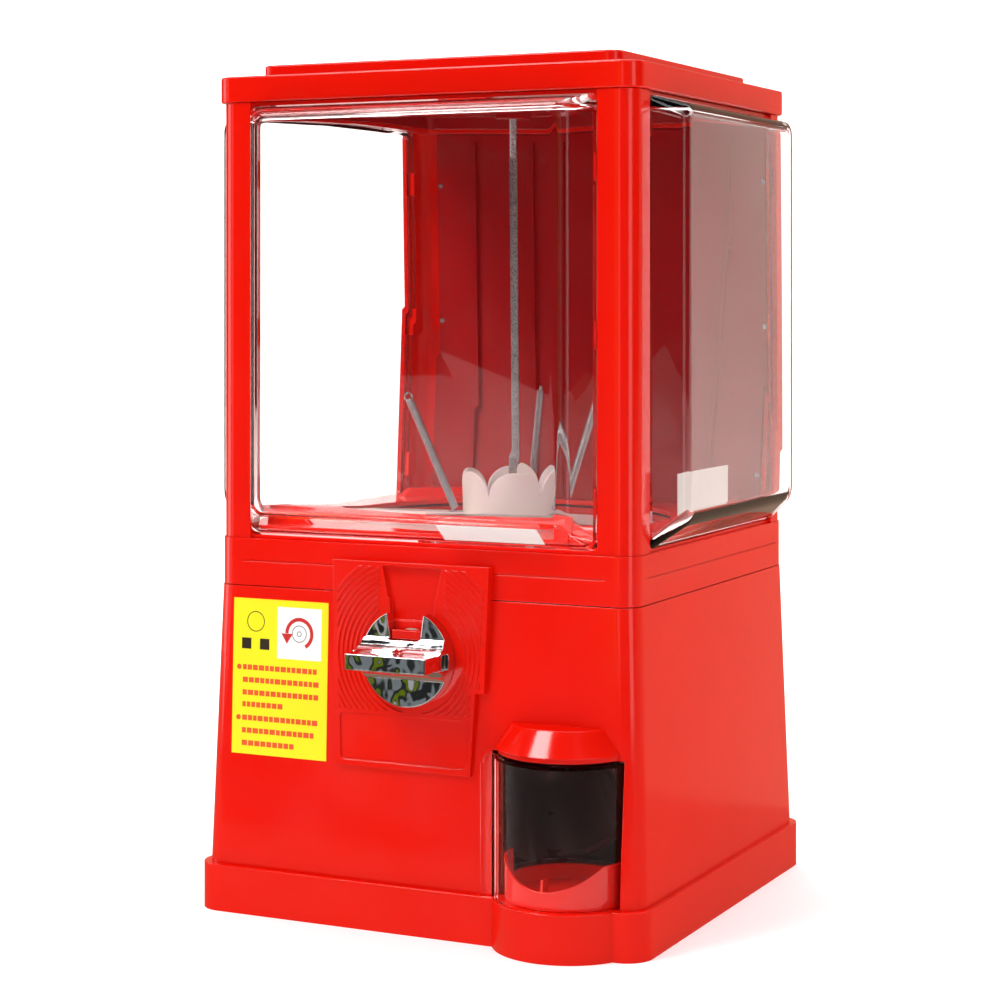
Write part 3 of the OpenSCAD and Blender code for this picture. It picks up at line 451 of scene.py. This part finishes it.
def window_loft(half, depth, turn):
    """Lofts the outer and the inner stations, turned about the upright axis by turn degrees."""
    outer, inner = window_stations(half, depth)
    shells = []
    for stations in (outer, inner):
        flat = np.array([rounded_outline(*row[:4]) for row in stations])
        out = np.repeat(stations[:, 4:5], flat.shape[1], 1)
        shells.append(np.stack([flat[..., 0], -out, flat[..., 1]], -1) * MM)
    c, s = math.cos(math.radians(turn)), math.sin(math.radians(turn))
    spin = np.array([[c, s, 0], [-s, c, 0], [0, 0, 1]])
    return np.concatenate(shells) @ spin, len(outer)


def make_window(node, half, depth, turn):
    """Joins outer and inner lofts by the ring between their last stations, and closes both faces."""
    points, split = window_loft(half, depth, turn)
    rows, columns = points.shape[:2]
    faces = grid_faces(split, columns, False, True)
    faces += grid_faces(rows - split, columns, False, True, split * columns)
    faces.append(list(range((split - 1) * columns, split * columns)))
    faces.append(list(range(split * columns, (split + 1) * columns)))
    last = (rows - 1) * columns
    j = np.arange(columns)
    k = (j + 1) % columns
    faces += np.stack([last + j, last + k, k, j], -1).tolist()
    mesh = bpy.data.meshes.new(node + "_shell")
    mesh.from_pydata(points.reshape(-1, 3).tolist(), [], faces)
    return adopt(shaded(mesh), node + "_piece", node)


for node, half, depth, turn in (("front_window", 113, 125, 0), ("right_window", 102, 135.5, 90),
                                ("left_window", 102, 135.5, -90)):
    pieces[node] = make_window(node, half, depth, turn)
    print(node, len(pieces[node].data.polygons), "faces")

# %% [markdown]
# ## Stirring springs
# Three close-wound springs stand on the drop wheel and stir the capsules. Each is a wire of 1.1 mm
# wound on a helix whose rise per turn is one wire, with a round eye at each end. A tube along a path
# needs a frame at every point: for a helix the radial direction is one axis and its cross product with
# the tangent is the other, so no twist builds up.

# %% Springs


def tube(path, across, radius, sides=8):
    """Rings round a path: point + radius * (cos * across + sin * (tangent x across))."""
    along = np.gradient(path, axis=0)
    along /= np.linalg.norm(along, axis=1, keepdims=True)
    across = across - (across * along).sum(1, keepdims=True) * along
    across /= np.linalg.norm(across, axis=1, keepdims=True)
    up = np.cross(along, across)
    turn = np.linspace(0, 2 * np.pi, sides, endpoint=False)[None, :, None]
    return path[:, None] + radius * (np.cos(turn) * across[:, None] + np.sin(turn) * up[:, None])


def wound(radius, wire, low, high, per_turn=14):
    """Helix of the given mean radius that rises by one wire diameter a turn from low to high."""
    turns = (high - low) / wire
    phi = np.linspace(0, 2 * np.pi * turns, int(turns * per_turn))
    ring = np.stack([np.cos(phi), np.sin(phi), np.zeros_like(phi)], -1)
    return radius * ring + np.outer(low + phi / (2 * np.pi) * wire, [0, 0, 1]), ring


def eye(centre_z, axis, radius=2.3, start=-80, end=260):
    """Open loop of wire round the given axis, in the plane that holds the spring's own axis."""
    a = np.radians(np.linspace(start, end, 30))
    side = np.array([0, 1.0, 0]) if axis == "x" else np.array([1.0, 0, 0])
    out = np.cos(a)[:, None] * side + np.sin(a)[:, None] * np.array([0, 0, 1.0])
    return radius * out + np.array([0, 0, centre_z]), out


def spring_grids(foot, tip, azimuth, wire=1.1, coil=2.5):
    """The coil, its neck and both eyes, leaned from foot to tip and turned to the azimuth."""
    lean = math.atan2(tip[0] - foot[0], tip[1] - foot[1])
    length = math.hypot(tip[0] - foot[0], tip[1] - foot[1])
    neck = np.linspace([0, 0, 2.1], [coil - wire / 2, 0, 7.2], 8)
    top = np.linspace([coil - wire / 2, 0, length - 3.2], [0.6, 0, length - 2.6], 4)
    made = []
    for path, across in (wound(coil - wire / 2, wire, 7, length - 3), eye(0, "x"), eye(length - 1.2, "y"),
                         (neck, np.tile([0.0, 1, 0], (8, 1))), (top, np.tile([0.0, 1, 0], (4, 1)))):
        made.append(tube(path, across, wire / 2))
    c, s = math.cos(lean), math.sin(lean)
    a, b = math.cos(math.radians(azimuth)), math.sin(math.radians(azimuth))
    leaned = np.array([[c, 0, -s], [0, 1, 0], [s, 0, c]])
    turned = np.array([[a, b, 0], [-b, a, 0], [0, 0, 1]])
    place = np.array([foot[0], 0, foot[1]])
    return [((grid @ leaned + place) @ turned) * MM for grid in made]


for i, azimuth in enumerate((222, 102, 342)):
    node = f"agitator_spring_{i + 1}"
    grids = spring_grids((33.6, 229), (67, 305), azimuth)
    pieces[node] = adopt(surface(node + "_wire", grids), node + "_piece", node)
    print(node, len(pieces[node].data.polygons), "faces")

# %% [markdown]
# ## The petal crown
# Six round-topped petals of white polypropylene stand round the rod and shed the capsules outwards.
# They are one thin wall: the height at each angle is a half circle over each petal, and the wall leans
# outwards a little as it rises, as a moulded cup does. Rows climb the wall and columns go round it.

# %% Petals


def petal_wall(radius, petals=6, offset=-62, foot=222, valley=243, top=258, half=15.4, count=288):
    """Height round the wall: top - half + sqrt(half^2 - s^2), s the arc from the nearest petal's middle."""
    angle = np.linspace(0, 360, count, endpoint=False)
    away = (angle - offset + 180 / petals) % (360 / petals) - 180 / petals
    s = np.clip(np.abs(np.radians(away) * 30), 0, half)
    height = np.maximum(top - half + np.sqrt(half**2 - s**2), valley)
    t = np.linspace(0, 1, 14)[:, None]
    z = foot + (height[None, :] - foot) * t
    bulge = radius + 1.6 * np.clip((z - foot) / (top - foot), 0, 1) ** 2
    a = np.radians(angle)[None, :]
    return np.stack([bulge * np.cos(a), bulge * np.sin(a), z], -1) * MM


outer, inner = petal_wall(30.0), petal_wall(28.2)
wall = np.concatenate([outer, inner[::-1]])
base = np.array([[13.2, 222], [28.4, 222], [28.4, 224], [13.2, 224]])
a = np.linspace(0, 2 * np.pi, 96, endpoint=False)
plate = np.stack([base[:, :1] * np.cos(a), base[:, :1] * np.sin(a), np.repeat(base[:, 1:], 96, 1)], -1) * MM
crown = surface("petal_crown_wall", [wall, plate], close_rows=True, caps=False)
pieces["petal_crown"] = adopt(crown, "petal_crown_piece", "petal_crown")
soft = pieces["petal_crown"].modifiers.new("edge radius", "BEVEL")
soft.width, soft.segments, soft.limit_method, soft.angle_limit = 0.4 * MM, 2, "ANGLE", SHARP
print("petal crown", len(crown.polygons), "faces")

# %% [markdown]
# ## The centre rod
# The rod is 5 mm steel with a rolled thread at its top, where the lid's lock screws on. A thread is a
# groove that climbs one pitch a turn, so the radius at each point depends on height minus angle.

# %% Threaded rod


def threaded_rod(low, high, radius=2.5, pitch=0.8, depth=0.42, thread_from=452.0, sides=24):
    """Radius = full radius - depth * |triangle wave of (height / pitch - angle / turn)| above thread_from."""
    plain = np.linspace(low, thread_from, 12)
    cut = np.linspace(thread_from, high, int((high - thread_from) / pitch * 6))[1:]
    z = np.concatenate([plain, cut])[:, None]
    a = np.linspace(0, 2 * np.pi, sides, endpoint=False)[None, :]
    wave = np.abs(((z / pitch - a / (2 * np.pi)) % 1) * 2 - 1)
    fade = np.clip((z - thread_from) / 2, 0, 1)
    r = radius - depth * wave * fade
    return np.stack([r * np.cos(a), r * np.sin(a), z + 0 * a], -1) * MM


rod_low, rod_high = (corner.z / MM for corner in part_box("center_rod"))
rod = surface("center_rod_steel", [threaded_rod(rod_low, rod_high)])
pieces["center_rod"] = adopt(rod, "center_rod_piece", "center_rod")
print("rod", round(rod_high - rod_low, 1), "mm long,", len(rod.polygons), "faces")

# %% [markdown]
# ## Labels and card
# The yellow notice carries no words here: rows of plain blocks stand for lines of print, and a ring with
# an arrow head on a white panel stands for a simple turning sign. Every mark is a thin inked patch on
# the leaning wall. Positions are measured from the label's lower left corner, across and up the slope.

# %% Label sheets


def patch(corners, foot, across, up, out, thick):
    """Thin slab: foot + u * across + v * up for the four corners, and the same moved out by thick."""
    flat = np.array([foot + u * across + v * up for u, v in corners])
    return np.stack([flat, flat + out * thick])


def sheet_piece(name, slabs, node, material=None):
    """One object of several thin slabs."""
    mesh = surface(name, slabs)
    return adopt(mesh, name, node if material is None else None, BODY_OF[node], SLOT_OF[node], material)


def bar(u0, u1, v0, v1):
    """Corners of an upright rectangle on the label, in millimetres."""
    return [(u0, v0), (u1, v0), (u1, v1), (u0, v1)]


CASE_FOOT, CASE_TOP = 27.5, 193.7  # heights of the leaning front wall
CASE_DEEP_FOOT, CASE_DEEP_TOP = 264, 253  # depth of the case at those heights
WALL_Y = -132.02  # the label's plane at the foot of the wall
LABEL_LEFT, LABEL_WIDE, LABEL_HIGH, LABEL_RISE = -123, 65, 92.5, 66.5

lean = math.atan2((CASE_DEEP_FOOT - CASE_DEEP_TOP) / 2, CASE_TOP - CASE_FOOT)
foot = np.array([LABEL_LEFT, WALL_Y + LABEL_RISE * math.sin(lean), CASE_FOOT + LABEL_RISE * math.cos(lean)])
across, up = np.array([1.0, 0, 0]), np.array([0, math.sin(lean), math.cos(lean)])
out = np.array([0, -math.cos(lean), math.sin(lean)])
label = [patch(bar(0, LABEL_WIDE, 0, LABEL_HIGH), foot * MM, across * MM, up * MM, out * MM, 0.3)]
pieces["notice_label"] = sheet_piece("notice_label_piece", label, "notice_label")

LINES = [(7, 60, 50), (7, 60, 42.5), (7, 60, 35), (7, 37, 28), (7, 60, 20), (7, 60, 12.5), (7, 43, 5)]
face = foot + out * 0.3


def printed(name, marks, material, thick=0.04):
    """Flat marks on the label, each a closed slab of ink raised by thick millimetres."""
    slabs = [patch(mark, face * MM, across * MM, up * MM, out * MM, thick) for mark in marks]
    pieces[name] = sheet_piece(name, slabs, "notice_label", material)
    print(name, len(slabs), "marks")


def ring(u, v, inner, outer, start=0, end=360, steps=48):
    """Ring sector as a closed strip: radii inner and outer swept from start to end degrees, 0.06 mm proud."""
    turn = np.radians(np.linspace(start, end, steps))
    flat = [(face + (u + r * np.cos(turn))[:, None] * across + (v + r * np.sin(turn))[:, None] * up) * MM
            for r in (inner, outer)]
    high = [row + out * 0.06 * MM for row in flat]
    return np.stack([flat[0], flat[1], high[1], high[0]], 1)


def words(u0, u1, v, seed):
    """A line of print as plain blocks: widths 2.2 + 1.6 * a fraction of seed * k, with 0.7 mm gaps."""
    widths = 2.2 + 1.6 * ((seed * 0.618 * np.arange(1, 24)) % 1)
    starts = u0 + np.concatenate([[0], np.cumsum(widths + 0.7)[:-1]])
    keep = starts + widths < u1
    return [bar(a, a + w, v, v + 3.1) for a, w in zip(starts[keep].tolist(), widths[keep].tolist())]


printed("label_lines", [block for i, line in enumerate(LINES) for block in words(*line, i + 2)], ORANGE_INK)
printed("label_heading", [bar(6, 12.5, 62.5, 69), bar(18.5, 25, 62.5, 69)], INK)
printed("label_panel", [bar(30.5, 60.5, 58, 88.5)], WHITE_INK)
bullets = [ring(4.4, v + 1.5, 0.05, 1.6, steps=20) for v in (50, 20)]
circles = [ring(15.5, 79, 5.6, 6.1), ring(45.5, 73.2, 4.6, 5.0), ring(45.5, 73.2, 1.2, 1.6)]
arrow = patch([(33.2, 73), (41, 73), (37.1, 67)], face * MM, across * MM, up * MM, out * MM, 0.07)
sign = [ring(45.5, 73.2, 7.4, 9.6, -60, 180), arrow]
for name, shapes, ink in (("label_bullets", bullets, ORANGE_INK), ("label_rings", circles, INK),
                          ("label_sign", sign, RED_INK)):
    pieces[name] = adopt(surface(name, shapes), name, None, "root", "yellow_label", ink)
    print(name, len(shapes), "shapes")

# %% Blank strip and card
pieces["window_label_strip"] = softened("window_label_strip", 0.1)
pieces["display_card"] = softened("display_card", 0.2)
print("cards", [pieces[n].name for n in ("window_label_strip", "display_card")])

# %% [markdown]
# ## Studio paper
# A white sweep runs from under the machine up behind it, so no horizon shows. Gloss would mirror so
# much white paper and wash out the red, so reflections see the paper as a dim warm tone, and the floor
# in front not at all. A photographer does the same with dark flags beside the lens.

# %% Sweep


def sweep(y, z, half=4.5):
    """A ruled sheet: a profile in Y and Z carried along X."""
    x = np.tile([-half, half], (len(y), 1))
    return np.stack([x, np.tile(np.array(y)[:, None], (1, 2)), np.tile(np.array(z)[:, None], (1, 2))], -1)


def sweep_paper(name, glow, in_gloss):
    """White paper with a little glow of its own, which reflections see as a dimmer warm tone."""
    material, tree, out = blank_material(name)
    at = add(tree, "TexCoord").outputs["Object"]
    fibre = add(tree, "TexNoise", None, {"Vector": at, "Scale": feature(4), "Detail": 3.0})
    bump = add(tree, "Bump", None, {"Height": fibre.outputs[0], "Strength": 0.15, "Distance": 0.08 * MM})
    paper = add(tree, "BsdfPrincipled", None, {
        "Base Color": linear("#FAFAFA"), "Roughness": 0.75, "Normal": bump.outputs[0], "IOR": 1.5,
        "Emission Color": linear("#FFFFFF"), "Emission Strength": glow})
    seen = add(tree, "Emission", None, {"Color": linear("#FFD2B4"), "Strength": in_gloss})
    path = add(tree, "LightPath")
    straight = add(tree, "Math", {"operation": "SUBTRACT", "use_clamp": True}, {
        0: path.outputs["Is Glossy Ray"], 1: path.outputs["Is Transmission Ray"]})
    both = add(tree, "MixShader", None, {
        0: straight.outputs[0], 1: paper.outputs[0], 2: seen.outputs[0]})
    tree.links.new(both.outputs[0], out.inputs["Surface"])
    return material


def stage_sheet(name, y, z, in_reflections, paper):
    """One sheet of the studio paper, with or without its place in reflections."""
    mesh = surface(name, [sweep(y, z)], close_columns=False, caps=False)
    mesh.materials.append(paper)
    sheet = bpy.data.objects.new(name, mesh)
    sheet.visible_glossy = in_reflections
    bpy.context.scene.collection.objects.link(sheet)


PAPER = sweep_paper("pale_sweep_paper", 0.2, 0.5)
NEAR_PAPER = sweep_paper("pale_floor_paper", 0.2, 0.3)
curve, cove = np.linspace(0, np.pi / 2, 16), 0.9
rise_y, rise_z = 1.9 + cove * np.sin(curve), cove - cove * np.cos(curve)
stage_sheet("studio_apron", [-3.2, -0.36], [0, 0], False, PAPER)
stage_sheet("studio_floor", [-0.36, 0.3], [0, 0], True, NEAR_PAPER)
stage_sheet("studio_sweep", [0.3, *rise_y, 2.8], [0, *rise_z, 3.4], True, PAPER)
print("sweep", round(rise_y[-1] + 3.2, 1), "m deep")

# %% [markdown]
# ## Reflectors
# White, grey and green cards stand round the machine and light nothing. They only show in gloss: they
# draw bright lines along the edges and streaks in the chrome and in the curved cap of the outlet.

# %% Reflector cards


def card(name, place, width, height, strength, colour):
    """Upright reflector facing the machine, seen only in reflections: a ruled sheet across the line to it."""
    away = np.array([place[0], place[1], 0]) / math.hypot(place[0], place[1])
    side = np.array([-away[1], away[0], 0]) * width / 2
    foot, head = np.array(place) - [0, 0, height / 2], np.array(place) + [0, 0, height / 2]
    mesh = surface(name, [np.array([[foot - side, foot + side], [head - side, head + side]])],
                   close_columns=False, caps=False)
    material, tree, out = blank_material(name + "_glow")
    path = add(tree, "LightPath")
    glow = add(tree, "Emission", None, {"Color": linear(colour), "Strength": strength})
    clear = add(tree, "BsdfTransparent")
    both = add(tree, "MixShader", None, {
        0: path.outputs["Is Transmission Ray"], 1: glow.outputs[0], 2: clear.outputs[0]})
    tree.links.new(both.outputs[0], out.inputs["Surface"])
    mesh.materials.append(material)
    made = bpy.data.objects.new(name, mesh)
    made.visible_camera = made.visible_diffuse = made.visible_shadow = made.visible_transmission = False
    bpy.context.scene.collection.objects.link(made)


WHITE_CARD, GREEN_CARD = "#FFFDFA", "#8FA520"
CARDS = [  # name, place in metres, width, height, strength, colour
    ("left_reflector", (-1.5, -0.35, 0.5), 0.6, 1.3, 2.0, WHITE_CARD),
    ("right_reflector", (1.5, -0.75, 0.5), 0.5, 1.1, 1.6, WHITE_CARD),
    ("front_reflector", (0.9, -1.9, 1.9), 1.0, 0.8, 1.6, WHITE_CARD),
    ("grey_reflector", (-1.5, -1.1, 0.45), 0.4, 1.0, 0.7, WHITE_CARD),
    ("green_reflector", (-0.3, -2.1, 0.35), 0.35, 0.8, 0.9, GREEN_CARD),
    ("pale_reflector", (0.25, -2.1, 0.5), 0.3, 1.0, 0.8, WHITE_CARD),
    ("chrome_reflector_1", (-0.624, -1.113, -0.02), 0.04, 0.17, 0.45, WHITE_CARD),
    ("chrome_reflector_2", (-0.583, -1.133, -0.02), 0.03, 0.17, 0.5, GREEN_CARD),
    ("chrome_reflector_3", (-0.516, -1.166, -0.02), 0.05, 0.17, 0.3, "#D8E0E4"),
    ("low_reflector", (0.1, -0.9, -0.4), 1.2, 0.5, 2.0, WHITE_CARD),
]
for reflector in CARDS:
    card(*reflector)
print("cards", len(CARDS))

# %% [markdown]
# ## Lamps and air
# Large square lamps give soft shadows. The key lamp stands high at the front left, a weak one fills
# the right side, one hangs overhead, and two brighten the paper behind. The air glows faintly too.

# %% Lamps


def lamp(name, place, target, size, power):
    """A square soft lamp at place, facing target."""
    data = bpy.data.lights.new(name, "AREA")
    data.shape, data.size, data.energy = "SQUARE", size, power
    made = bpy.data.objects.new(name, data)
    made.location = place
    away = np.array(place) - np.array(target)
    made.rotation_euler = (math.acos(away[2] / np.linalg.norm(away)), 0, math.atan2(away[0], -away[1]))
    bpy.context.scene.collection.objects.link(made)


lamp("key lamp", (-1.4, -2.0, 3.0), (0, 0, 0.2), 1.5, 84)
lamp("fill lamp", (1.9, -1.6, 1.6), (0, 0, 0.25), 1.1, 12)
lamp("top lamp", (0, 0.2, 2.8), (0, 0.2, 0), 2.8, 46)
lamp("back lamp", (-1.2, 1.6, 1.9), (0.3, 2.8, 0.6), 1.6, 30)
lamp("back lamp 2", (1.4, 1.5, 1.9), (-0.2, 2.8, 0.6), 1.6, 30)

world = bpy.data.worlds.new("studio air")
bpy.context.scene.world = world
world.use_nodes = True
tree = world.node_tree
air, glint = (add(tree, "Background", None, {"Color": linear("#D8DADC"), "Strength": strength})
              for strength in (0.24, 0.03))
path = add(tree, "LightPath")
sky = add(tree, "MixShader", None, {
    0: path.outputs["Is Glossy Ray"], 1: air.outputs[0], 2: glint.outputs[0]})
tree.links.new(sky.outputs[0], tree.nodes["World Output"].inputs["Surface"])
bpy.context.scene.view_settings.view_transform = "Standard"
print("lamps", len(bpy.data.lights))

# %% [markdown]
# ## Camera
# A long lens level with the upper part of the cabinet, a little to the right of the front.

# %% Camera
camera = bpy.data.objects.new("camera", bpy.data.cameras.new("camera"))
camera.location = (0.648, -1.3565, 0.3688)
camera.rotation_euler = (math.radians(90), 0, math.radians(25.79))
camera.data.lens, camera.data.sensor_width = 86.6, 36
camera.data.shift_y = -0.207
bpy.context.scene.collection.objects.link(camera)
bpy.context.scene.camera = camera
